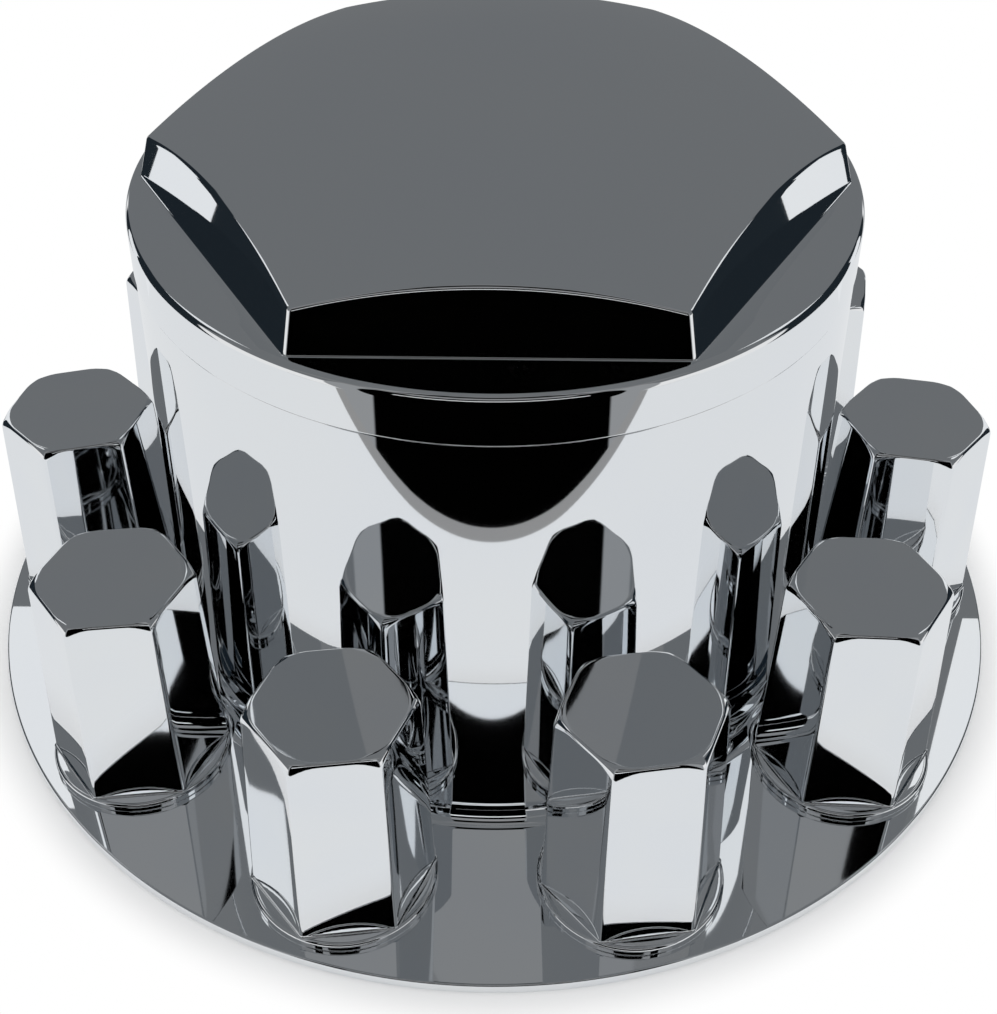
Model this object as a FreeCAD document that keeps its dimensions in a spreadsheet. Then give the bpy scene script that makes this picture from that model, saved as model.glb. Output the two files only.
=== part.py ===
import FreeCAD, Part
import math
import os
import Sketcher

# Chromed axle cover for a ten-stud truck hub: a flanged drum, a clip-on cap with a domed hexagon, and
# lug nut covers that stand over the flange's holes. Millimetres, +Z outwards along the axle.

doc = FreeCAD.newDocument("axle_cover")

# Driving dimensions
sizes = {
    "flange_radius": 176,
    "flange_wall": 3.5,
    "flange_edge_round": 2.5,
    "lug_edge_distance": 33.125,
    "lug_count": 10,
    "lug_hole_radius": 20.5,
    "drum_nut_gap": 1.375,
    "drum_draft": 0.6,
    "drum_wall": 3.5,
    "drum_foot_round": 6,
    "shoulder_height": 154.5,
    "neck_height": 11.5,
    "neck_wall": 3.5,
    "snap_bead": 0.7,
    "snap_bead_lift": 6,
    "cap_overhang": 0.4,
    "cap_wall": 3,
    "cap_skirt_height": 16,
    "cap_rim_round": 2.2,
    "hexagon_corner_ledge": 0.8,
    "hexagon_lean": 13,
    "hexagon_corner_rise": 13,
    "hexagon_edge_round": 2,
    "dome_rise": 23.5,
    "cap_clearance": 0.3,
    "nut_flats": 44.8,
    "nut_height": 76.5,
    "nut_roof": 3.3,
    "nut_bore_radius": 19.5,
    "nut_bore_mouth": 0.8,
    "nut_lip_radius": 28.9,
    "nut_lip_height": 3,
    "nut_lip_round": 1.2,
    "nut_corner_round": 1.6,
    "nut_shoulder_radius": 23.4,
    "nut_shoulder_drop": 3.2,
    "nut_top_round": 1,
    "nut_seat_clearance": 0.5,
}

# Sizes and heights that follow from those: outwards in, from the flange's edge to the cap, then upwards
rules = {
    "lug_circle_radius": "=flange_radius - lug_edge_distance",
    "drum_foot_radius": "=lug_circle_radius - nut_lip_radius - drum_nut_gap",
    "drum_head_radius": "=drum_foot_radius - drum_draft",
    "cap_radius": "=drum_head_radius + cap_overhang",
    "cap_inside": "=cap_radius - cap_wall",
    "neck_radius": "=cap_inside - cap_clearance",
    "neck_inside": "=neck_radius - neck_wall",
    "hexagon_corner": "=cap_radius - cap_rim_round - hexagon_corner_ledge",
    "hexagon_top_corner": "=hexagon_corner - hexagon_corner_rise * tan(hexagon_lean) / cos(30)",
    "dome_radius": "=(hexagon_top_corner ^ 2 + dome_rise ^ 2) / (2 * dome_rise)",
    "nut_corner": "=nut_flats / 2 / cos(30)",
    "bead_height": "=shoulder_height + snap_bead_lift",
    "neck_top": "=shoulder_height + neck_height",
    "ledge_height": "=shoulder_height + cap_skirt_height",
    "crown_height": "=ledge_height + hexagon_corner_rise + dome_rise",
}
sheet = doc.addObject("Spreadsheet::Sheet", "sizes")
for row, (alias, cell) in enumerate({**sizes, **rules}.items(), start=1):
    sheet.set(f"A{row}", alias)
    sheet.set(f"B{row}", str(cell))
    sheet.setAlias(f"B{row}", alias)
doc.recompute()

# Turn of each nut cover about its own axis, in degrees: they are screwed on one by one
nut_turns = [8.0, 9.6, -2.0, -9.9, 21.0, 12.0, 27.0, 4.0, 15.2, 7.1]
nut_at_three_o_clock = 3

# Room that a cutting profile or a selection of edges leaves around the solid
cut_margin = 10
near = 0.05


# The number that a rule gives with the sheet's present sizes
def value(rule):
    return float(sheet.evalExpression(str(rule)))


def new_body(label):
    body = doc.addObject("PartDesign::Body", label)
    body.Label = label
    return body


def plane(body, role):
    return next(item for item in body.Origin.OriginFeatures if item.Role == role)


def new_sketch(body, name, role):
    sketch = body.newObject("Sketcher::SketchObject", f"{body.Name}_{name}")
    sketch.AttachmentSupport = [(plane(body, role), "")]
    sketch.MapMode = "FlatFace"
    return sketch


# Ties one end of a sketch's line or arc to a place on the sheet, with axes for zero
def tie_point(sketch, side, end, across, up):
    for kind, rule, axis in (("DistanceX", across, -2), ("DistanceY", up, -1)):
        if rule == "0":
            sketch.addConstraint(Sketcher.Constraint("PointOnObject", side, end, axis))
            continue
        place = sketch.addConstraint(Sketcher.Constraint(kind, -1, 1, side, end, value(rule)))
        sketch.setExpression(f"Constraints[{place}]", rule)


# A closed profile of straight sides, each corner a pair of rules: (across, up)
def straight_profile(body, name, role, corners):
    sketch = new_sketch(body, name, role)
    points = [FreeCAD.Vector(value(across), value(up), 0) for across, up in corners]
    for start, end in zip(points, points[1:] + points[:1]):
        sketch.addGeometry(Part.LineSegment(start, end), False)
    count = len(corners)
    for side in range(count):
        sketch.addConstraint(Sketcher.Constraint("Coincident", side, 2, (side + 1) % count, 1))
    for side, (across, up) in enumerate(corners):
        tie_point(sketch, side, 1, across, up)
    return sketch


def circle_sketch(body, name, across, radius, lift="0"):
    sketch = new_sketch(body, name, "XY_Plane")
    sketch.setExpression("AttachmentOffset.Base.z", lift)
    centre = FreeCAD.Vector(value(across), 0, 0)
    sketch.addGeometry(Part.Circle(centre, FreeCAD.Vector(0, 0, 1), value(radius)), False)
    tie_point(sketch, 0, 3, across, "0")
    place = sketch.addConstraint(Sketcher.Constraint("Radius", 0, value(radius)))
    sketch.setExpression(f"Constraints[{place}]", radius)
    return sketch


# A feature that turns a sketch's profile all the way round the body's Z axis
def turned(body, kind, name, sketch):
    feature = body.newObject(f"PartDesign::{kind}", f"{body.Name}_{name}")
    feature.Profile = sketch
    feature.ReferenceAxis = (sketch, ["V_Axis"])
    feature.Angle = 360
    doc.recompute()
    return feature


# An upright cylinder or hexagonal prism on the body's axis
def upright(body, kind, name, radius, height, lift="0"):
    feature = body.newObject(f"PartDesign::{kind}", f"{body.Name}_{name}")
    feature.AttachmentSupport = [(plane(body, "XY_Plane"), "")]
    feature.MapMode = "FlatFace"
    feature.setExpression("AttachmentOffset.Base.z", lift)
    feature.setExpression("Circumradius" if kind.endswith("Prism") else "Radius", radius)
    feature.setExpression("Height", height)
    doc.recompute()
    return feature


# Rounds or chamfers the edges of the body's last feature that pass a test
def eased(body, kind, name, rule, test):
    base = body.Tip
    edges = [(f"Edge{place}", edge) for place, edge in enumerate(base.Shape.Edges, start=1)]
    names = [name for name, edge in edges if not edge.Degenerated and test(edge)]
    feature = body.newObject(f"PartDesign::{kind}", f"{body.Name}_{name}")
    feature.Base = (base, names)
    feature.setExpression("Radius" if kind == "Fillet" else "Size", rule)
    doc.recompute()
    return feature


def is_circle(edge, radius, height):
    if not isinstance(edge.Curve, Part.Circle):
        return False
    at_height = abs(edge.Curve.Center.z - height) < near
    return at_height and abs(edge.Curve.Radius - radius) < near


def is_upright(edge):
    return isinstance(edge.Curve, Part.Line) and abs(abs(edge.Curve.Direction.z) - 1) < near


# A corner between two walls above the ledge, or the arc where a wall meets the dome
def is_hexagon_edge(edge, ledge, crown):
    box = edge.BoundBox
    dome_arc = box.ZMin > ledge + near and box.ZMax < crown - near
    return dome_arc or (isinstance(edge.Curve, Part.Line) and box.ZMax > ledge + near)


def is_level(edge, height):
    return all(abs(vertex.Point.z - height) < near for vertex in edge.Vertexes)


# The moulded shell: flange and drum turned as one, with a stepped neck and a snap bead for the cap
def make_shell():
    body = new_body("axle_cover")
    drum_inside = "sizes.drum_head_radius - sizes.drum_wall"
    step_height = "sizes.shoulder_height - sizes.drum_wall"
    profile = straight_profile(body, "section", "XZ_Plane", [
        ("sizes.drum_foot_radius - sizes.drum_wall", "0"),
        ("sizes.flange_radius", "0"),
        ("sizes.flange_radius", "sizes.flange_wall"),
        ("sizes.drum_foot_radius", "sizes.flange_wall"),
        ("sizes.drum_head_radius", "sizes.shoulder_height"),
        ("sizes.neck_radius", "sizes.shoulder_height"),
        ("sizes.neck_radius", "sizes.bead_height - sizes.snap_bead"),
        ("sizes.neck_radius + sizes.snap_bead", "sizes.bead_height"),
        ("sizes.neck_radius", "sizes.bead_height + sizes.snap_bead"),
        ("sizes.neck_radius", "sizes.neck_top"),
        ("sizes.neck_inside", "sizes.neck_top"),
        ("sizes.neck_inside", step_height),
        (drum_inside, step_height),
    ])
    turned(body, "Revolution", "form", profile)
    foot = value("sizes.drum_foot_radius")
    edge = value("sizes.flange_radius")
    top = value("sizes.flange_wall")
    eased(body, "Fillet", "foot_round", "sizes.drum_foot_round", lambda e: is_circle(e, foot, top))
    eased(body, "Fillet", "edge_round", "sizes.flange_edge_round", lambda e: is_circle(e, edge, top))

    # Each lug hole, and the flat seat that its nut cover's lip takes out of the drum's foot round
    hole = body.newObject("PartDesign::Pocket", "lug_hole")
    hole.Profile = circle_sketch(body, "hole", "sizes.lug_circle_radius", "sizes.lug_hole_radius")
    hole.Reversed = True
    hole.setExpression("Length", "sizes.flange_wall")
    seat = body.newObject("PartDesign::Pocket", "lug_seat")
    seat_radius = "sizes.nut_lip_radius + sizes.nut_seat_clearance"
    seat.Profile = circle_sketch(body, "seat", "sizes.lug_circle_radius", seat_radius, "sizes.flange_wall")
    seat.Reversed = True
    seat.setExpression("Length", "sizes.drum_foot_round")
    ring = body.newObject("PartDesign::PolarPattern", "lug_ring")
    ring.Originals = [hole, seat]
    ring.Axis = (plane(body, "Z_Axis"), [""])
    ring.Angle = 360
    ring.setExpression("Occurrences", "sizes.lug_count")
    body.Tip = ring
    doc.recompute()
    return body


# A skirt, a level ledge and a leaning hexagon under a dome: the cap's outside, and its hollow, a wall smaller
def make_domed_form(label, wall):
    body = new_body(label)
    corner = f"(sizes.hexagon_corner - {wall} / cos(30))"
    ledge = f"sizes.ledge_height - {wall}"
    crown = f"sizes.crown_height - {wall}"
    dome = f"sizes.dome_radius - {wall}"
    foot = "sizes.shoulder_height"
    upright(body, "AdditiveCylinder", "skirt", f"sizes.cap_radius - {wall}", f"{ledge} - {foot}", foot)
    upright(body, "AdditivePrism", "hexagon", corner, f"{crown} - ({ledge})", ledge)

    # A wedge off each wall leans it inwards from its foot
    flat = f"{corner} * cos(30)"
    roof = f"{crown} + {cut_margin}"
    wedge = body.newObject("PartDesign::Pocket", f"{label}_wedge")
    wedge.Profile = straight_profile(body, "lean", "YZ_Plane", [
        (flat, ledge),
        (f"{flat} + {cut_margin}", ledge),
        (f"{flat} + {cut_margin}", roof),
        (f"{flat} - ({roof} - ({ledge})) * tan(sizes.hexagon_lean)", roof),
    ])
    wedge.Midplane = True
    wedge.setExpression("Length", f"2 * {corner}")
    walls = body.newObject("PartDesign::PolarPattern", f"{label}_walls")
    walls.Originals = [wedge]
    walls.Axis = (plane(body, "Z_Axis"), [""])
    walls.Angle = 360
    walls.Occurrences = 6
    body.Tip = walls
    doc.recompute()

    # The dome is what is left under an arc turned about the axis
    sketch = new_sketch(body, "dome", "XZ_Plane")
    reach = f"sizes.cap_radius + {cut_margin}"
    centre = FreeCAD.Vector(0, value(crown) - value(dome), 0)
    edge_angle = math.acos(value(reach) / value(dome))
    circle = Part.Circle(centre, FreeCAD.Vector(0, 0, 1), value(dome))
    arc = Part.ArcOfCircle(circle, edge_angle, math.pi / 2)
    apex = FreeCAD.Vector(0, value(crown), 0)
    axis_roof = FreeCAD.Vector(0, value(roof), 0)
    edge_roof = FreeCAD.Vector(value(reach), value(roof), 0)
    sketch.addGeometry(arc, False)
    sketch.addGeometry(Part.LineSegment(apex, axis_roof), False)
    sketch.addGeometry(Part.LineSegment(axis_roof, edge_roof), False)
    sketch.addGeometry(Part.LineSegment(edge_roof, arc.StartPoint), False)
    for first, first_end, second, second_end in ((0, 2, 1, 1), (1, 2, 2, 1), (2, 2, 3, 1), (3, 2, 0, 1)):
        sketch.addConstraint(Sketcher.Constraint("Coincident", first, first_end, second, second_end))
    tie_point(sketch, 1, 1, "0", crown)
    tie_point(sketch, 2, 1, "0", roof)
    tie_point(sketch, 3, 1, reach, roof)
    sketch.addConstraint(Sketcher.Constraint("Vertical", 3))
    sketch.addConstraint(Sketcher.Constraint("PointOnObject", 0, 3, -2))
    place = sketch.addConstraint(Sketcher.Constraint("Radius", 0, value(dome)))
    sketch.setExpression(f"Constraints[{place}]", dome)
    turned(body, "Groove", "dome_cut", sketch)
    return body


# The cap: the domed form with its edges eased, hollowed by the smaller form, with a groove for the snap bead
def make_cap():
    outside = make_domed_form("cap_outside", "0")
    ledge = value("sizes.ledge_height")
    crown = value("sizes.crown_height")
    rim = value("sizes.cap_radius")
    eased(outside, "Fillet", "hexagon_edges", "sizes.hexagon_edge_round",
          lambda e: is_hexagon_edge(e, ledge, crown))
    eased(outside, "Fillet", "rim", "sizes.cap_rim_round", lambda e: is_circle(e, rim, ledge))

    hollow = make_domed_form("cap_hollow", "sizes.cap_wall")
    groove_foot = "sizes.bead_height - sizes.snap_bead"
    groove_head = "sizes.bead_height + sizes.snap_bead"
    groove = straight_profile(hollow, "snap_groove", "XZ_Plane", [
        ("sizes.cap_inside - sizes.snap_bead", groove_foot),
        ("sizes.cap_inside", groove_foot),
        ("sizes.cap_inside + sizes.snap_bead", "sizes.bead_height"),
        ("sizes.cap_inside", groove_head),
        ("sizes.cap_inside - sizes.snap_bead", groove_head),
    ])
    turned(hollow, "Revolution", "snap_groove_form", groove)

    cap = doc.addObject("Part::Cut", "hub_cap")
    cap.Label = "hub_cap"
    cap.Base = outside
    cap.Tool = hollow
    doc.recompute()
    return cap


# One lug nut cover: a tall hexagon on a round lip, bored from below, its top corners turned down
def make_nut_cover(index):
    body = new_body(f"nut_cover_{index + 1:02d}")
    upright(body, "AdditivePrism", "hexagon", "sizes.nut_corner", "sizes.nut_height")
    eased(body, "Fillet", "corners", "sizes.nut_corner_round", is_upright)
    shoulder = straight_profile(body, "shoulder", "XZ_Plane", [
        ("sizes.nut_shoulder_radius", "sizes.nut_height"),
        ("sizes.nut_corner", "sizes.nut_height - sizes.nut_shoulder_drop"),
        (f"sizes.nut_corner + {cut_margin}", "sizes.nut_height - sizes.nut_shoulder_drop"),
        (f"sizes.nut_corner + {cut_margin}", f"sizes.nut_height + {cut_margin}"),
        ("sizes.nut_shoulder_radius", f"sizes.nut_height + {cut_margin}"),
    ])
    turned(body, "Groove", "shoulder_cut", shoulder)
    top = value("sizes.nut_height")
    eased(body, "Fillet", "top_round", "sizes.nut_top_round", lambda e: is_level(e, top))
    upright(body, "AdditiveCylinder", "lip", "sizes.nut_lip_radius", "sizes.nut_lip_height")
    lip = value("sizes.nut_lip_radius")
    lip_top = value("sizes.nut_lip_height")
    eased(body, "Fillet", "lip_round", "sizes.nut_lip_round", lambda e: is_circle(e, lip, lip_top))
    upright(body, "SubtractiveCylinder", "bore", "sizes.nut_bore_radius", "sizes.nut_height - sizes.nut_roof")
    bore = value("sizes.nut_bore_radius")
    eased(body, "Chamfer", "mouth", "sizes.nut_bore_mouth", lambda e: is_circle(e, bore, 0))

    # Each cover stands on the flange, over its hole
    angle = f"360 / sizes.lug_count * ({index} - {nut_at_three_o_clock})"
    body.setExpression("Placement.Base.x", f"sizes.lug_circle_radius * cos({angle})")
    body.setExpression("Placement.Base.y", f"sizes.lug_circle_radius * sin({angle})")
    body.setExpression("Placement.Base.z", "sizes.flange_wall")
    body.setExpression("Placement.Rotation.Angle", str(nut_turns[index % len(nut_turns)]))
    body.Placement.Rotation.Axis = FreeCAD.Vector(0, 0, 1)
    doc.recompute()
    return body


pieces = [make_shell(), make_cap()]
pieces += [make_nut_cover(index) for index in range(int(value("sizes.lug_count")))]
doc.recompute()

# Nothing is written unless every feature and every piece came out whole
for item in doc.Objects:
    if "Invalid" in item.State or "Error" in item.State:
        raise RuntimeError(f"{item.Name} failed: {item.State}")
for piece in pieces:
    if piece.Shape.isNull() or not piece.Shape.isValid() or len(piece.Shape.Solids) != 1:
        raise RuntimeError(f"{piece.Label} is not one valid solid")

os.makedirs("parts", exist_ok=True)
for piece in pieces:
    piece.Shape.exportStep(f"parts/{piece.Label}.step")
    print(piece.Label, round(piece.Shape.Volume / 1000, 2), "cm3")
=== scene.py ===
import math

import bmesh
import bpy
import numpy as np
from mathutils import Matrix, Vector


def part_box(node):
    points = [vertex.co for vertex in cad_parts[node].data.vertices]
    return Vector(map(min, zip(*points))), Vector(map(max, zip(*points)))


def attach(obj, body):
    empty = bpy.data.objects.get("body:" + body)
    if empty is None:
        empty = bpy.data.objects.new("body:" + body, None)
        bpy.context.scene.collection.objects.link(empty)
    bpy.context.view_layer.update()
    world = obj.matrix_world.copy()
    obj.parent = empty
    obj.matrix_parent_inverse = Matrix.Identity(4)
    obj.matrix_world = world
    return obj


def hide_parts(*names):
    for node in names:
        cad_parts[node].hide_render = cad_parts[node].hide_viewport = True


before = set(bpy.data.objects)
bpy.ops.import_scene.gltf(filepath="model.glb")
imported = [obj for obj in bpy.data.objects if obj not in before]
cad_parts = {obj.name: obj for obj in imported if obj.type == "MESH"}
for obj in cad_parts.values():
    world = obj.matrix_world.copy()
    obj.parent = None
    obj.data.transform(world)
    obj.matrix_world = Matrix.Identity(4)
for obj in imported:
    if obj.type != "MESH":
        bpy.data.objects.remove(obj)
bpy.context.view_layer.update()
mm = 0.001  # shapes below are worked out in millimetres
print("frame loaded:", len(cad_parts), "pieces")


# Shapes on grids

# corners of every quad of a grid; a closed grid joins its last column to its first
def gridQuads(rows, cols, closed, start):
    down = np.arange(rows - 1)[:, None]
    along = np.arange(cols if closed else cols - 1)[None, :]
    beside = (along + 1) % cols
    quads = [down * cols + along, down * cols + beside, (down + 1) * cols + beside, (down + 1) * cols + along]
    return np.stack(quads, axis=-1).reshape(-1, 4) + start


# joins grids that share their borders into one closed skin: (points, closed, finish) for each grid
def weldPiece(name, skins, finishes, creaseDegrees=32.0, weldGap=0.004):
    points, quads, finishIndex, start = [], [], [], 0
    for grid, closed, finish in skins:
        faces = gridQuads(grid.shape[0], grid.shape[1], closed, start)
        points.append(grid.reshape(-1, 3))
        quads.append(faces)
        finishIndex.append(np.full(len(faces), finish))
        start += grid.shape[0] * grid.shape[1]
    mesh = bpy.data.meshes.new(name)
    mesh.from_pydata((np.concatenate(points) * mm).tolist(), [], np.concatenate(quads).tolist())
    mesh.polygons.foreach_set("material_index", np.concatenate(finishIndex))
    skin = bmesh.new()
    skin.from_mesh(mesh)
    bmesh.ops.remove_doubles(skin, verts=skin.verts, dist=weldGap * mm)
    bmesh.ops.dissolve_degenerate(skin, edges=skin.edges, dist=0.1 * weldGap * mm)
    bmesh.ops.recalc_face_normals(skin, faces=skin.faces)
    openEdges = sum(1 for edge in skin.edges if not edge.is_manifold)
    skin.to_mesh(mesh)
    skin.free()
    mesh.shade_smooth()
    mesh.set_sharp_from_angle(angle=math.radians(creaseDegrees))
    for finish in finishes:
        mesh.materials.append(finish)
    piece = bpy.data.objects.new(name, mesh)
    bpy.context.scene.collection.objects.link(piece)
    print(name, "quads:", len(mesh.polygons), "open edges:", openEdges)
    return piece


def unit(vector):
    return vector / np.linalg.norm(vector)


# straight runs through the corners (across, up, round), each corner turned by an arc of its own radius;
# a holding point just off both ends of an arc keeps the runs flat
def easedPath(corners, steps=7, hold=0.15):
    spots = [np.array(corner[:2], float) for corner in corners]
    path = [spots[0][None]]
    for before, here, after, corner in zip(spots, spots[1:], spots[2:], corners[1:]):
        if corner[2] == 0:
            path.append(here[None])
            continue
        back, ahead = unit(before - here), unit(after - here)
        half = math.acos(np.clip(back @ ahead, -1, 1)) / 2
        reach = corner[2] / math.tan(half)
        centre = here + unit(back + ahead) * corner[2] / math.sin(half)
        turn = math.pi - 2 * half
        share = np.linspace(0, 1, steps + 1)[:, None]
        first, last = here + back * reach - centre, here + ahead * reach - centre
        arc = centre + (np.sin((1 - share) * turn) * first + np.sin(share * turn) * last) / math.sin(turn)
        path += [(arc[0] + back * hold)[None], arc, (arc[-1] + ahead * hold)[None]]
    path.append(spots[-1][None])
    return np.concatenate(path)


# a path of (radius, height) turned about the axis, at each column's angle
def turnedSkin(path, angles):
    radius, height = path[:, :1], path[:, 1:]
    return np.stack([radius * np.cos(angles), radius * np.sin(angles), height + 0 * angles], axis=-1)


# a hexagon whose flats lie 1 from its middle: each column's place on it, and the way its side faces;
# the first corner lies on +X, and each corner holds a fan of columns for its rounding
def hexagonRing(sideColumns, cornerColumns):
    corners = np.radians(60 * np.arange(6))
    fan = corners[:, None] + np.radians(np.linspace(-30, 30, cornerColumns + 1))
    fanSpot = np.repeat(corners[:, None], cornerColumns + 1, axis=1)
    share = np.linspace(-1, 1, sideColumns + 1)[1:-1]
    faces = np.repeat((corners + math.pi / 6)[:, None], sideColumns - 1, axis=1)
    along = np.repeat(share[None], 6, axis=0) * math.tan(math.pi / 6)
    cornerReach = 1 / math.cos(math.pi / 6)
    spotX = np.concatenate([cornerReach * np.cos(fanSpot), np.cos(faces) - along * np.sin(faces)], axis=1)
    spotY = np.concatenate([cornerReach * np.sin(fanSpot), np.sin(faces) + along * np.cos(faces)], axis=1)
    facing = np.concatenate([fan, faces], axis=1).reshape(-1)
    spots = np.stack([spotX.reshape(-1), spotY.reshape(-1)], axis=1)
    return spots, np.stack([np.cos(facing), np.sin(facing)], axis=1)


# a hexagon of that flat radius with rounded corners: the sharp one a rounding smaller,
# swollen by the rounding
def roundedHexagon(ring, flatRadius, rounding):
    spots, facing = ring
    return spots * (np.asarray(flatRadius) - rounding)[..., None] + facing * rounding


# the rows of a skin from its flat outlines and the height of each row
def raised(outlines, heights):
    return np.concatenate([outlines, np.broadcast_to(heights[..., None], outlines.shape[:2] + (1,))], axis=2)


# Finishes

def newGroup(name, inputs, outputs):
    group = bpy.data.node_groups.new(name, "ShaderNodeTree")
    for label, default in inputs.items():
        socket = group.interface.new_socket(name=label, in_out="INPUT", socket_type="NodeSocketFloat")
        socket.default_value = default
    for label, kind in outputs.items():
        group.interface.new_socket(name=label, in_out="OUTPUT", socket_type=kind)
    return group, group.nodes.new("NodeGroupInput"), group.nodes.new("NodeGroupOutput")


# plating over a moulding: slow waves in the plastic, a fine haze, and patches a shade warmer or cooler
def platingGroup():
    group, given, result = newGroup(
        "platingSurface",
        {"Wave Scale": 18.0, "Haze Scale": 900.0, "Roughness": 0.03, "Haze": 0.02, "Bright": 0.86},
        {"Colour": "NodeSocketColor", "Roughness": "NodeSocketFloat", "Height": "NodeSocketFloat"})
    nodes, links = group.nodes, group.links
    place = nodes.new("ShaderNodeTexCoord")
    waves = nodes.new("ShaderNodeTexNoise")
    waves.inputs["Detail"].default_value = 1.0
    haze = nodes.new("ShaderNodeTexNoise")
    haze.inputs["Detail"].default_value = 3.0
    links.new(place.outputs["Object"], waves.inputs["Vector"])
    links.new(place.outputs["Object"], haze.inputs["Vector"])
    links.new(given.outputs["Wave Scale"], waves.inputs["Scale"])
    links.new(given.outputs["Haze Scale"], haze.inputs["Scale"])
    rough = nodes.new("ShaderNodeMath")
    rough.operation = "MULTIPLY_ADD"
    links.new(haze.outputs["Fac"], rough.inputs[0])
    links.new(given.outputs["Haze"], rough.inputs[1])
    links.new(given.outputs["Roughness"], rough.inputs[2])
    tint = nodes.new("ShaderNodeValToRGB")
    tint.color_ramp.elements[0].position = 0.3
    tint.color_ramp.elements[0].color = (0.955, 0.975, 1.0, 1)
    tint.color_ramp.elements[1].position = 0.7
    tint.color_ramp.elements[1].color = (0.975, 0.99, 1.0, 1)
    links.new(waves.outputs["Fac"], tint.inputs["Fac"])
    shade = nodes.new("ShaderNodeVectorMath")
    shade.operation = "SCALE"
    links.new(tint.outputs["Color"], shade.inputs[0])
    links.new(given.outputs["Bright"], shade.inputs["Scale"])
    links.new(shade.outputs[0], result.inputs["Colour"])
    links.new(rough.outputs[0], result.inputs["Roughness"])
    links.new(waves.outputs["Fac"], result.inputs["Height"])
    return group


plating = platingGroup()


def chromeFinish(name, values, bumpStrength):
    finish = bpy.data.materials.new(name)
    finish.use_nodes = True
    nodes, links = finish.node_tree.nodes, finish.node_tree.links
    shader = nodes["Principled BSDF"]
    shader.inputs["Metallic"].default_value = 1.0
    surface = nodes.new("ShaderNodeGroup")
    surface.node_tree = plating
    for label, number in values.items():
        surface.inputs[label].default_value = number
    bump = nodes.new("ShaderNodeBump")
    bump.inputs["Strength"].default_value = bumpStrength
    bump.inputs["Distance"].default_value = 0.0005
    links.new(surface.outputs["Colour"], shader.inputs["Base Color"])
    links.new(surface.outputs["Roughness"], shader.inputs["Roughness"])
    links.new(surface.outputs["Height"], bump.inputs["Height"])
    links.new(bump.outputs["Normal"], shader.inputs["Normal"])
    return finish


brightChrome = chromeFinish("brightChrome", {"Roughness": 0.012, "Haze": 0.02, "Bright": 0.90}, 0.02)
capChrome = chromeFinish(
    "capChrome", {"Roughness": 0.012, "Haze": 0.02, "Bright": 0.90, "Wave Scale": 12.0}, 0.02)
nutChrome = chromeFinish(
    "nutChrome", {"Roughness": 0.015, "Haze": 0.025, "Bright": 0.90, "Wave Scale": 40.0}, 0.02)
dullPlating = chromeFinish(
    "dullPlating", {"Roughness": 0.22, "Haze": 0.2, "Bright": 0.55, "Haze Scale": 300.0}, 0.25)
print("finishes ready")


def settle(piece, node):
    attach(piece, "root")
    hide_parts(node)


# Shell: flange and drum

shell = {
    "flangeRadius": 176.0, "flangeWall": 3.5, "flangeEdgeRound": 0.7, "backEdgeRound": 0.4,
    "lugCircle": 142.875, "lugCount": 10, "holeRadius": 20.5, "holeEdgeRound": 0.3, "seatRadius": 29.4,
    "drumFoot": 112.6, "drumHead": 112.0, "drumWall": 3.5, "footRound": 6.0, "shoulder": 154.5,
    "neckRadius": 109.1, "neckInside": 105.6, "neckTop": 166.0, "bead": 0.7, "beadHeight": 160.5,
    "stepHeight": 151.0, "columnsPerLug": 48, "sideRows": 16, "flatHold": 0.3,
}


# the flange's flat between two radii around one hole: rulings from the hole's rim to the sector's border
def sectorBorder(inner, outer, angles, sideRows):
    side = np.linspace(0, 1, sideRows + 1)[1:-1]
    upRadius = inner[-1] + (outer - inner[-1]) * side
    downRadius = outer + (inner[0] - outer) * side
    radius = np.concatenate([inner, upRadius, np.full(len(angles), outer), downRadius])
    firstSide, lastSide = np.full(len(side), angles[0]), np.full(len(side), angles[-1])
    angle = np.concatenate([angles, lastSide, angles[::-1], firstSide])
    return np.stack([radius * np.cos(angle), radius * np.sin(angle)], axis=1)


def turnFlat(spots, angle):
    cosine, sine = math.cos(angle), math.sin(angle)
    return spots @ np.array([[cosine, sine], [-sine, cosine]])


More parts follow.
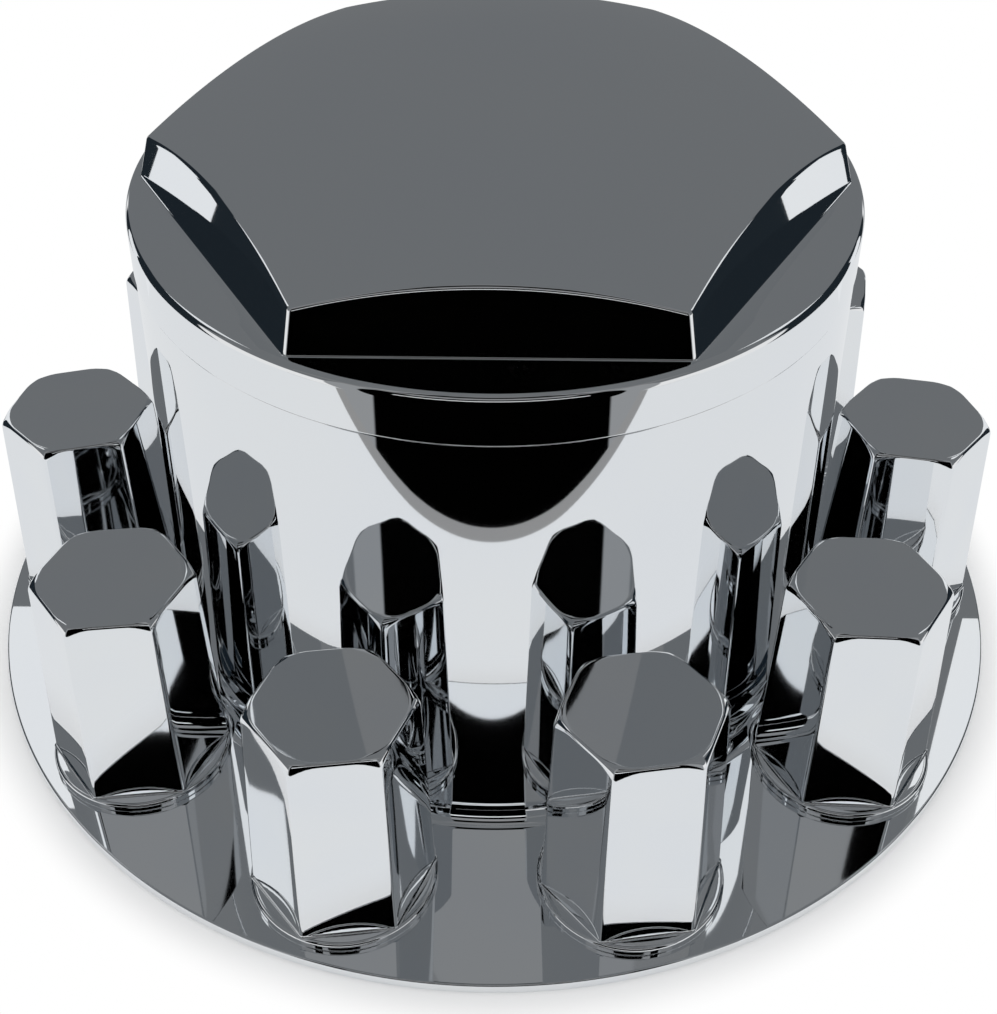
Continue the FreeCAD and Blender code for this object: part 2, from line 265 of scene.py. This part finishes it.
def buildShell(v):
    perLug, count = v["columnsPerLug"], v["lugCount"]
    lugStep = 2 * math.pi / count
    angles = -lugStep / 2 + lugStep / perLug * np.arange(perLug * count)
    fromLug = (angles + lugStep / 2) % lugStep - lugStep / 2
    wall, hold = v["flangeWall"], v["flatHold"]

    # edge of the flange, from its face round to its back
    faceEdge = v["flangeRadius"] - v["flangeEdgeRound"] - hold
    backEdge = v["flangeRadius"] - v["backEdgeRound"] - hold
    edge = turnedSkin(easedPath([
        (faceEdge, wall, 0), (v["flangeRadius"], wall, v["flangeEdgeRound"]),
        (v["flangeRadius"], 0, v["backEdgeRound"]), (backEdge, 0, 0)]), angles)

    # inside of the drum, up over the neck and its bead, to the shoulder under the cap
    inFoot = v["drumFoot"] - v["drumWall"]
    inHead = v["drumHead"] - v["drumWall"]
    backInner = inFoot + v["backEdgeRound"] + hold
    inside = turnedSkin(easedPath([
        (backInner, 0, 0), (inFoot, 0, v["backEdgeRound"]), (inHead, v["stepHeight"], 1.0),
        (v["neckInside"], v["stepHeight"], 0.4), (v["neckInside"], v["neckTop"] - 1, 0)]), angles)
    neck = turnedSkin(easedPath([
        (v["neckInside"], v["neckTop"] - 1, 0), (v["neckInside"], v["neckTop"], 0.4),
        (v["neckRadius"], v["neckTop"], 0.4), (v["neckRadius"], v["beadHeight"] + v["bead"], 0),
        (v["neckRadius"] + v["bead"], v["beadHeight"], 0.25),
        (v["neckRadius"], v["beadHeight"] - v["bead"], 0),
        (v["neckRadius"], v["shoulder"], 0), (v["drumHead"], v["shoulder"], 0.4),
        (v["drumFoot"], wall + v["footRound"], 0)]), angles)

    # concave round at the drum's foot, cut short where a nut cover's lip has its seat
    roundEnd = v["drumFoot"] + v["footRound"]
    reach = np.clip(v["seatRadius"] ** 2 - (v["lugCircle"] * np.sin(fromLug)) ** 2, 0, None)
    seatEdge = v["lugCircle"] * np.cos(fromLug) - np.sqrt(reach)
    footEnd = np.where(reach > 0, np.minimum(seatEdge, roundEnd), roundEnd)
    lastTurn = np.arccos(np.clip((roundEnd - footEnd) / v["footRound"], 0, 1))
    turn = np.linspace(0, 1, 15)[:, None] * lastTurn
    footRadius = np.vstack([roundEnd - v["footRound"] * np.cos(turn), footEnd, footEnd + hold])
    flatRow = 0 * footEnd + wall
    footHeight = np.vstack([wall + v["footRound"] * (1 - np.sin(turn)), flatRow, flatRow])
    foot = np.stack([footRadius * np.cos(angles), footRadius * np.sin(angles), footHeight], axis=-1)

    # flats of the flange, one sector for each lug, with the wall of its hole
    sector = np.linspace(-lugStep / 2, lugStep / 2, perLug + 1)
    firstLug = footEnd[np.arange(perLug + 1) % len(angles)] + hold
    faceBorder = sectorBorder(firstLug, faceEdge, sector, v["sideRows"])
    backBorder = sectorBorder(np.full(perLug + 1, backInner), backEdge, sector, v["sideRows"])
    lug = np.array([v["lugCircle"], 0.0])
    toBorder = faceBorder - lug
    spokes = toBorder / np.linalg.norm(toBorder, axis=1, keepdims=True)
    holeRim = v["holeRadius"] + v["holeEdgeRound"] + hold
    rim = lug + spokes * holeRim
    share = np.array([0, 0.3, 0.65, 1])[:, None, None]
    holePath = easedPath([
        (holeRim, wall, 0), (v["holeRadius"], wall, v["holeEdgeRound"]),
        (v["holeRadius"], 0, v["holeEdgeRound"]), (holeRim, 0, 0)], steps=4, hold=0.1)
    skins = [(edge, True, 0), (inside, True, 1), (neck, True, 0), (foot, True, 0)]
    for place in range(count):
        angle = place * lugStep
        for border, height, finish in ((faceBorder, wall, 0), (backBorder, 0.0, 1)):
            flat = turnFlat(rim * (1 - share) + border * share, angle)
            level = np.full(flat.shape[:2] + (1,), height)
            skins.append((np.concatenate([flat, level], axis=2), True, finish))
        ring = turnFlat(lug + spokes[None] * holePath[:, :1, None], angle)
        level = np.broadcast_to(holePath[:, 1:, None], ring.shape[:2] + (1,))
        skins.append((np.concatenate([ring, level], axis=2), True, 0))
    return weldPiece("axleCoverShell", skins, [brightChrome, dullPlating])


settle(buildShell(shell), "axle_cover")


# Cap: skirt, ledge and leaning hexagon under a dome

cap = {
    "radius": 112.4, "wall": 3.0, "foot": 154.5, "ledge": 170.5, "rimRound": 2.2, "footEdgeRound": 0.4,
    "cornerRadius": 109.4, "leanDegrees": 13.0, "cornerRise": 13.0, "domeRise": 23.5,
    "edgeRound": 2.0, "hexagonFootRound": 0.4, "hollowCornerRound": 0.5, "hollowEdgeRound": 0.6,
    "bead": 0.7, "beadHeight": 160.5,
    "sideColumns": 40, "cornerColumns": 8,
}


# leaning walls up to a rounded edge, then the dome to its crown. A wall point's inset is its height times the
# lean; the edge is an arc that touches the wall's line and the sphere's own slope there
def domedHexagon(ring, flatRadius, ledge, lean, cornerRound, edgeRound, sphere, crown, footRound):
    centre = crown - sphere
    slope = math.tan(lean)
    inset = np.zeros(len(ring[0]))
    for _ in range(6):  # settles where each wall column meets the sphere
        spots = roundedHexagon(ring, flatRadius - inset, cornerRound)
        top = centre + np.sqrt(sphere ** 2 - (spots ** 2).sum(1))
        inset = slope * (top - ledge)
    rise = (spots * ring[1]).sum(1) / np.sqrt(sphere ** 2 - (spots ** 2).sum(1))
    wallIn = np.array([math.cos(lean), -math.sin(lean)])
    down = np.stack([rise, -np.ones_like(rise)], axis=1) / np.sqrt(1 + rise ** 2)[:, None]
    det = wallIn[0] * down[:, 1] - wallIn[1] * down[:, 0]
    middleIn = inset + edgeRound * (down[:, 1] - wallIn[1]) / det
    middleUp = top + edgeRound * (wallIn[0] - down[:, 0]) / det
    first = math.atan2(-wallIn[1], -wallIn[0])
    last = np.arctan2(-down[:, 1], -down[:, 0])
    turn = first + (last - first) * np.linspace(0, 1, 9)[:, None]
    arcIn = middleIn + edgeRound * np.cos(turn)
    arcUp = middleUp + edgeRound * np.sin(turn)
    wallShare = np.array([0, 0.02, 0.5, 0.97])[:, None]
    footUp = ledge + footRound
    wallUp = footUp + (arcUp[0] - footUp) * wallShare
    rowsIn = np.concatenate([(wallUp - ledge) * slope, arcIn])
    rowsUp = np.concatenate([wallUp, arcUp])
    walls = roundedHexagon(ring, flatRadius - rowsIn, cornerRound)
    shrink = np.array([0.995, 0.93, 0.8, 0.65, 0.5, 0.35, 0.2, 0.08, 0.0])[:, None, None]
    dome = walls[-1] * shrink
    domeUp = centre + np.sqrt(sphere ** 2 - (dome ** 2).sum(2))
    return np.concatenate([
        np.concatenate([walls, rowsUp[..., None]], axis=2),
        np.concatenate([dome, domeUp[..., None]], axis=2)])


def buildCap(v):
    ring = hexagonRing(v["sideColumns"], v["cornerColumns"])
    angles = np.arctan2(ring[0][:, 1], ring[0][:, 0])
    lean = math.radians(v["leanDegrees"])
    cosine = math.cos(math.pi / 6)
    topCorner = v["cornerRadius"] - v["cornerRise"] * math.tan(lean) / cosine
    sphere = (topCorner ** 2 + v["domeRise"] ** 2) / (2 * v["domeRise"])
    crown = v["ledge"] + v["cornerRise"] + v["domeRise"]
    flat = v["cornerRadius"] * cosine
    inner = v["radius"] - v["wall"]
    innerLedge = v["ledge"] - v["wall"]

    hexagon = domedHexagon(ring, flat, v["ledge"], lean, v["edgeRound"], v["edgeRound"],
                           sphere, crown, v["hexagonFootRound"])
    hollow = domedHexagon(ring, flat - v["wall"], innerLedge, lean, v["hollowCornerRound"],
                          v["hollowEdgeRound"], sphere - v["wall"], crown - v["wall"], 0.0)
    rim = v["radius"] - v["rimRound"]
    skirt = turnedSkin(easedPath([
        (inner, v["foot"] + 1, 0), (inner, v["foot"], v["footEdgeRound"]),
        (v["radius"], v["foot"], v["footEdgeRound"]), (v["radius"], v["ledge"], v["rimRound"]),
        (rim - 0.25, v["ledge"], 0)]), angles)
    footRound = v["hexagonFootRound"]
    footTurn = np.linspace(0, 1, 5)[:, None] * (math.pi / 2 - lean)
    footOut = footRound * (1 - np.sin(footTurn))
    footUp = v["ledge"] + footRound * (1 - np.cos(footTurn))
    footRing = roundedHexagon(ring, flat - 0 * angles + footOut, v["edgeRound"])
    footRows = raised(footRing, footUp)
    ledgeRows = np.stack([skirt[-1], 0.5 * (skirt[-1] + footRows[0]), footRows[0]])
    grooveLow, grooveHigh = v["beadHeight"] - v["bead"], v["beadHeight"] + v["bead"]
    skirtInside = turnedSkin(easedPath([
        (inner, v["foot"] + 1, 0), (inner, grooveLow, 0), (inner + v["bead"], v["beadHeight"], 0.25),
        (inner, grooveHigh, 0), (inner, innerLedge, 0.3), (inner - 1, innerLedge, 0)]), angles)
    ceiling = np.stack([skirtInside[-1], hollow[0]])
    footJoin = np.stack([footRows[-1], hexagon[0]])
    skins = [(grid, True, 0) for grid in (skirt, ledgeRows, footRows, footJoin, hexagon)]
    skins += [(grid, True, 1) for grid in (skirtInside, ceiling, hollow)]
    return weldPiece("hubCapDome", skins, [capChrome, dullPlating])


settle(buildCap(cap), "hub_cap")


# Nut covers

nutCover = {
    "flats": 44.8, "height": 76.5, "roof": 3.3, "bore": 19.5, "boreMouth": 0.8,
    "lipRadius": 28.9, "lipHeight": 3.0, "lipRound": 1.2, "lipFootRound": 0.3,
    "cornerRound": 1.6, "shoulderRadius": 23.4, "shoulderSlope": 1.3,
    "topRound": 1.0, "footRound": 0.6, "footSpread": 2.2,
    "threadDepth": 0.5, "threadPitch": 2.0, "threadFrom": 6.0, "threadTurns": 12,
    "sideColumns": 12, "cornerColumns": 8,
}
coverTurns = [8.0, 9.6, -2.0, -9.9, 21.0, 12.0, 27.0, 4.0, 15.2, 7.1]  # degrees from +X to a corner


# hexagon on a round lip, spreading a little towards it. At the top an ellipse turns each column over:
# small at the flats, larger at the corners
def nutCoverSkins(v):
    ring = hexagonRing(v["sideColumns"], v["cornerColumns"])
    angles = np.arctan2(ring[0][:, 1], ring[0][:, 0])
    flat = v["flats"] / 2
    outline = roundedHexagon(ring, flat + 0 * angles, v["cornerRound"])
    reach = np.linalg.norm(outline, axis=1)
    beyond = reach - v["shoulderRadius"]
    corner = 0.5 * (beyond + np.sqrt(beyond ** 2 + 0.35 ** 2))
    turnIn = v["topRound"] + corner
    turnDown = v["topRound"] + corner * v["shoulderSlope"]
    sweep = np.linspace(0, math.pi / 2, 12)[:, None]
    rowIn = turnIn * (1 - np.cos(sweep))
    rowUp = v["height"] - turnDown * (1 - np.sin(sweep))

    footTurn = np.linspace(0, math.pi / 2, 5)[:, None]
    footOut = v["footRound"] * (1 - np.sin(footTurn))
    footUp = v["lipHeight"] + v["footRound"] * (1 - np.cos(footTurn))
    foot = roundedHexagon(ring, flat + v["footSpread"] + footOut + 0 * angles, v["cornerRound"])
    foot = raised(foot, footUp)

    wallUp = foot[-1, 0, 2] + (rowUp[0] - foot[-1, 0, 2]) * np.array([0, 0.003, 0.5, 0.996, 1])[:, None]
    spread = v["footSpread"] * (rowUp[0] - wallUp) / (rowUp[0] - foot[-1, 0, 2])
    walls = raised(roundedHexagon(ring, flat + spread, v["cornerRound"]), wallUp)
    over = outline * (1 - rowIn / reach)[..., None]
    shoulder = raised(over, rowUp)
    shrink = np.array([1, 0.985, 0.6, 0])[:, None, None]
    crown = np.concatenate([over[-1] * shrink, np.full((4, len(angles), 1), v["height"])], axis=2)

    lip = turnedSkin(easedPath([
        (v["bore"] + v["boreMouth"] + 2, 0, 0), (v["lipRadius"], 0, v["lipFootRound"]),
        (v["lipRadius"], v["lipHeight"], v["lipRound"]),
        (v["lipRadius"] - v["lipRound"] - 0.3, v["lipHeight"], 0)]), angles)
    ledge = np.stack([lip[-1], foot[0]])

    # bore with its thread: the wall steps out and back once in each pitch, one pitch higher each turn
    rows = np.linspace(0, v["threadTurns"] * v["threadPitch"], v["threadTurns"] * 6 + 1)[:, None]
    phase = rows / v["threadPitch"] - angles / (2 * math.pi)
    fade = np.clip(np.minimum(rows, rows[-1] - rows) / v["threadPitch"], 0, 1)
    groove = v["threadDepth"] * fade * (1 - np.abs(2 * (phase % 1) - 1))
    boreRadius = v["bore"] + groove
    thread = np.stack([boreRadius * np.cos(angles), boreRadius * np.sin(angles),
                       v["threadFrom"] + rows + 0 * angles], axis=-1)
    mouth = turnedSkin(np.array([
        (v["bore"] + v["boreMouth"] + 2, 0), (v["bore"] + v["boreMouth"], 0), (v["bore"], v["boreMouth"]),
        (v["bore"], v["threadFrom"])]), angles)
    ceiling = v["height"] - v["roof"]
    blind = turnedSkin(easedPath([
        (v["bore"], v["threadFrom"] + rows[-1, 0], 0), (v["bore"], ceiling, 1.0), (0, ceiling, 0)]), angles)
    bright = [(grid, True, 0) for grid in (lip, ledge, foot, walls, shoulder, crown)]
    return bright + [(grid, True, 1) for grid in (mouth, thread, blind)]


# one cover turned about its own axis and set on its node's place
def placeSkins(skins, turn, spot):
    return [(np.concatenate([turnFlat(grid[..., :2], turn), grid[..., 2:]], axis=2) + spot, closed, finish)
            for grid, closed, finish in skins]


coverSkins = nutCoverSkins(nutCover)
for place, turnDegrees in enumerate(coverTurns, start=1):
    node = f"nut_cover_{place:02d}"
    low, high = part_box(node)
    spot = np.array([low.x + high.x, low.y + high.y, 2 * low.z]) / 2 / mm
    skins = placeSkins(coverSkins, math.radians(turnDegrees), spot)
    piece = weldPiece(f"nutCover{place:02d}", skins, [nutChrome, dullPlating])
    settle(piece, node)
print("nut covers placed:", len(coverTurns))


# Stage, light and camera

stage = {
    "floorFront": -0.2612, "floorSide": 0.36, "floorBack": 0.40, "fadeFrom": 0.174, "fadeTo": 0.192,
    "floorColour": (0.96, 0.965, 0.97), "floorEdge": 0.008, "edgeGrey": 0.30, "seenInChrome": 0.80,
    "daylight": 1.0,
    "ceilingGrey": 0.165, "frontGrey": 0.30, "highGrey": 0.20, "flagDark": 0.018, "white": 0.85,
    "lowWhite": 8.0, "backLow": -30.0, "backFrom": 143.0, "blackWidth": 37.0, "greyWidth": 47.0,
    "frontTop": 75.0, "flagFrom": 90.0, "flagTo": 140.0, "flagLow": -36.0, "flagHigh": 33.0,
    # cards across the front: distance ahead, half width, foot and head
    "frontCard": (0.478, 0.21, 0.47, 0.72), "frontCardGrey": 0.26,
    "highCard": (0.48, 0.75, 0.58, 0.78), "highCardGrey": 0.21, "lowCard": (0.48, 0.22, 0.265, 0.324),
    # pair of cards beside the flange's rim: distance behind the middle, inner and outer edge, foot and head
    "rimCard": (0.05, 0.193, 0.245, 0.07, 0.20),
    # pair of cards at the sides: distance out, front and back edge, foot and head
    "sideCard": (0.50, 0.01, 0.20, 0.47, 0.72),
}


def mathStep(tree, operation, first, second=None, clamp=False):
    node = tree.nodes.new("ShaderNodeMath")
    node.operation = operation
    node.use_clamp = clamp
    for socket, given in zip(node.inputs, (first, second)):
        if given is None:
            continue
        if isinstance(given, (int, float)):
            socket.default_value = given
        else:
            tree.links.new(given, socket)
    return node.outputs[0]


# 1 above the limit and 0 below it, over a soft edge
def above(tree, reading, limit, softness=1.0):
    ramp = tree.nodes.new("ShaderNodeMapRange")
    ramp.interpolation_type = "SMOOTHSTEP"
    ramp.inputs["From Min"].default_value = limit - softness / 2
    ramp.inputs["From Max"].default_value = limit + softness / 2
    tree.links.new(reading, ramp.inputs["Value"])
    return ramp.outputs["Result"]


def blend(tree, mask, off, on):
    mix = tree.nodes.new("ShaderNodeMix")
    mix.data_type = "RGBA"
    tree.links.new(mask, mix.inputs["Factor"])
    for socket, given in ((mix.inputs["A"], off), (mix.inputs["B"], on)):
        colour = next(item for item in mix.inputs if item.identifier == f"{socket.identifier[0]}_Color")
        if isinstance(given, tuple):
            colour.default_value = given
        else:
            tree.links.new(given, colour)
    return next(item for item in mix.outputs if item.identifier == "Result_Color")


def grey(level, cool=0.0):
    return (level * (1 - cool), level, level * (1 + cool), 1)


# studio seen in the chrome: a pale room below, a grey ceiling, a dark front and dark flags at the sides
def buildWorld(v):
    world = bpy.data.worlds.new("studioRoom")
    bpy.context.scene.world = world
    world.use_nodes = True
    tree = world.node_tree
    tree.nodes.clear()
    place = tree.nodes.new("ShaderNodeTexCoord")
    axes = tree.nodes.new("ShaderNodeSeparateXYZ")
    tree.links.new(place.outputs["Generated"], axes.inputs["Vector"])
    lift = mathStep(tree, "ARCSINE", axes.outputs["Z"])
    lift = mathStep(tree, "DEGREES", lift)
    forward = mathStep(tree, "MULTIPLY", axes.outputs["Y"], -1.0)
    around = mathStep(tree, "ARCTAN2", axes.outputs["X"], forward)
    around = mathStep(tree, "ABSOLUTE", mathStep(tree, "DEGREES", around))

    behind = above(tree, around, v["backFrom"], 4)
    overhead = mathStep(tree, "MAXIMUM", above(tree, lift, v["lowWhite"], 3),
                        mathStep(tree, "MULTIPLY", behind, above(tree, lift, v["backLow"], 6)))
    room = blend(tree, overhead, grey(v["white"]), grey(v["ceilingGrey"], 0.05))
    flag = mathStep(tree, "MULTIPLY", above(tree, around, v["flagFrom"], 2),
                    mathStep(tree, "SUBTRACT", 1.0, above(tree, around, v["flagTo"], 2)))
    flag = mathStep(tree, "MULTIPLY", flag, above(tree, lift, v["flagLow"], 2))
    belowTop = mathStep(tree, "SUBTRACT", 1.0, above(tree, lift, v["flagHigh"], 2))
    flag = mathStep(tree, "MULTIPLY", flag, belowTop)
    room = blend(tree, flag, room, grey(v["flagDark"], 0.3))
    front = blend(tree, above(tree, around, v["blackWidth"], 1), grey(0.0), grey(v["frontGrey"], 0.03))
    front = blend(tree, above(tree, lift, v["frontTop"], 2), front, grey(v["highGrey"], 0.03))
    inFront = mathStep(tree, "SUBTRACT", 1.0, above(tree, around, v["greyWidth"], 1))
    room = blend(tree, inFront, room, front)

    path = tree.nodes.new("ShaderNodeLightPath")
    shown = blend(tree, path.outputs["Is Glossy Ray"], grey(v["daylight"]), room)
    light = tree.nodes.new("ShaderNodeBackground")
    tree.links.new(shown, light.inputs["Color"])
    result = tree.nodes.new("ShaderNodeOutputWorld")
    tree.links.new(light.outputs[0], result.inputs["Surface"])


# pale floor: it keeps the shadow beside the flange and fades to the white background further out
def buildFloor(v):
    mesh = bpy.data.meshes.new("floor")
    side, back, front = v["floorSide"], v["floorBack"], v["floorFront"]
    corners = [(-side, front, 0), (side, front, 0), (side, back, 0), (-side, back, 0)]
    mesh.from_pydata(corners, [], [(0, 1, 2, 3)])
    floor = bpy.data.objects.new("floor", mesh)
    bpy.context.scene.collection.objects.link(floor)
    paint = bpy.data.materials.new("floorPaint")
    paint.use_nodes = True
    tree = paint.node_tree
    shader = tree.nodes["Principled BSDF"]
    shader.inputs["Base Color"].default_value = v["floorColour"] + (1,)
    shader.inputs["Roughness"].default_value = 1.0
    shader.inputs["Specular IOR Level"].default_value = 0.0
    place = tree.nodes.new("ShaderNodeTexCoord")
    length = tree.nodes.new("ShaderNodeVectorMath")
    length.operation = "LENGTH"
    tree.links.new(place.outputs["Object"], length.inputs[0])
    fade = tree.nodes.new("ShaderNodeMapRange")
    fade.interpolation_type = "SMOOTHSTEP"
    fade.inputs["From Min"].default_value = v["fadeFrom"]
    fade.inputs["From Max"].default_value = v["fadeTo"]
    tree.links.new(length.outputs["Value"], fade.inputs["Value"])
    glow = tree.nodes.new("ShaderNodeEmission")
    axes = tree.nodes.new("ShaderNodeSeparateXYZ")
    tree.links.new(place.outputs["Object"], axes.inputs["Vector"])
    inner = above(tree, axes.outputs["Y"], v["floorFront"] + v["floorEdge"], 0.001)
    path = tree.nodes.new("ShaderNodeLightPath")
    tone = blend(tree, inner, grey(v["edgeGrey"]), grey(v["seenInChrome"], 0.02))
    tone = blend(tree, path.outputs["Is Camera Ray"], tone, grey(1.0))
    tree.links.new(tone, glow.inputs["Color"])
    mix = tree.nodes.new("ShaderNodeMixShader")
    tree.links.new(fade.outputs["Result"], mix.inputs["Fac"])
    tree.links.new(shader.outputs[0], mix.inputs[1])
    tree.links.new(glow.outputs[0], mix.inputs[2])
    tree.links.new(mix.outputs[0], tree.nodes["Material Output"].inputs["Surface"])
    mesh.materials.append(paint)


# one upright card of the studio, seen only in reflections
def buildCard(name, corners, level):
    mesh = bpy.data.meshes.new(name)
    mesh.from_pydata(corners, [], [(0, 1, 2, 3)])
    card = bpy.data.objects.new(name, mesh)
    bpy.context.scene.collection.objects.link(card)
    paint = bpy.data.materials.new(name)
    paint.use_nodes = True
    tree = paint.node_tree
    tree.nodes.clear()
    glow = tree.nodes.new("ShaderNodeEmission")
    glow.inputs["Color"].default_value = grey(level, 0.02)
    result = tree.nodes.new("ShaderNodeOutputMaterial")
    tree.links.new(glow.outputs[0], result.inputs["Surface"])
    mesh.materials.append(paint)
    card.visible_camera = False
    card.visible_diffuse = False
    card.visible_shadow = False


# cards that give the chrome its pale and grey patches on the flange, the drum and the covers
def buildCards(v):
    side, front, back, low, high = v["sideCard"]
    levels = {"frontCard": v["frontCardGrey"], "highCard": v["highCardGrey"], "lowCard": v["white"]}
    for name, level in levels.items():
        depth, half, foot, head = v[name]
        buildCard(name, [(-half, -depth, foot), (half, -depth, foot),
                         (half, -depth, head), (-half, -depth, head)], level)
    behind, inner, outer, under, over = v["rimCard"]
    for name, sign in (("Left", -1), ("Right", 1)):
        buildCard(f"rimCard{name}", [(sign * inner, behind, under), (sign * outer, behind, under),
                                     (sign * outer, behind, over), (sign * inner, behind, over)], v["white"])
        buildCard(f"sideCard{name}", [(sign * side, front, low), (sign * side, back, low),
                                      (sign * side, back, high), (sign * side, front, high)], v["white"])


buildWorld(stage)
buildFloor(stage)
buildCards(stage)
print("stage ready")

camera = {
    "place": (0.0080, -0.4729, 0.4425), "yawDegrees": -0.82, "pitchDegrees": 40.57, "rollDegrees": 0.15,
    "focalPixels": 1746.0, "longSidePixels": 1014.0, "sensor": 36.0,
}


# camera axes from its heading, its dip and a small roll about the line of sight
def buildCamera(v):
    yaw, pitch, roll = (math.radians(v[key]) for key in ("yawDegrees", "pitchDegrees", "rollDegrees"))
    ahead = Vector((math.sin(yaw) * math.cos(pitch), math.cos(yaw) * math.cos(pitch), -math.sin(pitch)))
    right = Vector((math.cos(yaw), -math.sin(yaw), 0))
    up = right.cross(ahead)
    lens = bpy.data.cameras.new("camera")
    lens.sensor_width = v["sensor"]
    lens.lens = v["focalPixels"] / v["longSidePixels"] * v["sensor"]
    lens.clip_start = 0.01
    viewer = bpy.data.objects.new("camera", lens)
    turn = Matrix((right, up, -ahead)).transposed() @ Matrix.Rotation(roll, 3, "Z")
    viewer.matrix_world = Matrix.Translation(Vector(v["place"])) @ turn.to_4x4()
    bpy.context.scene.collection.objects.link(viewer)
    bpy.context.scene.camera = viewer


buildCamera(camera)
bpy.context.scene.view_settings.view_transform = "Standard"
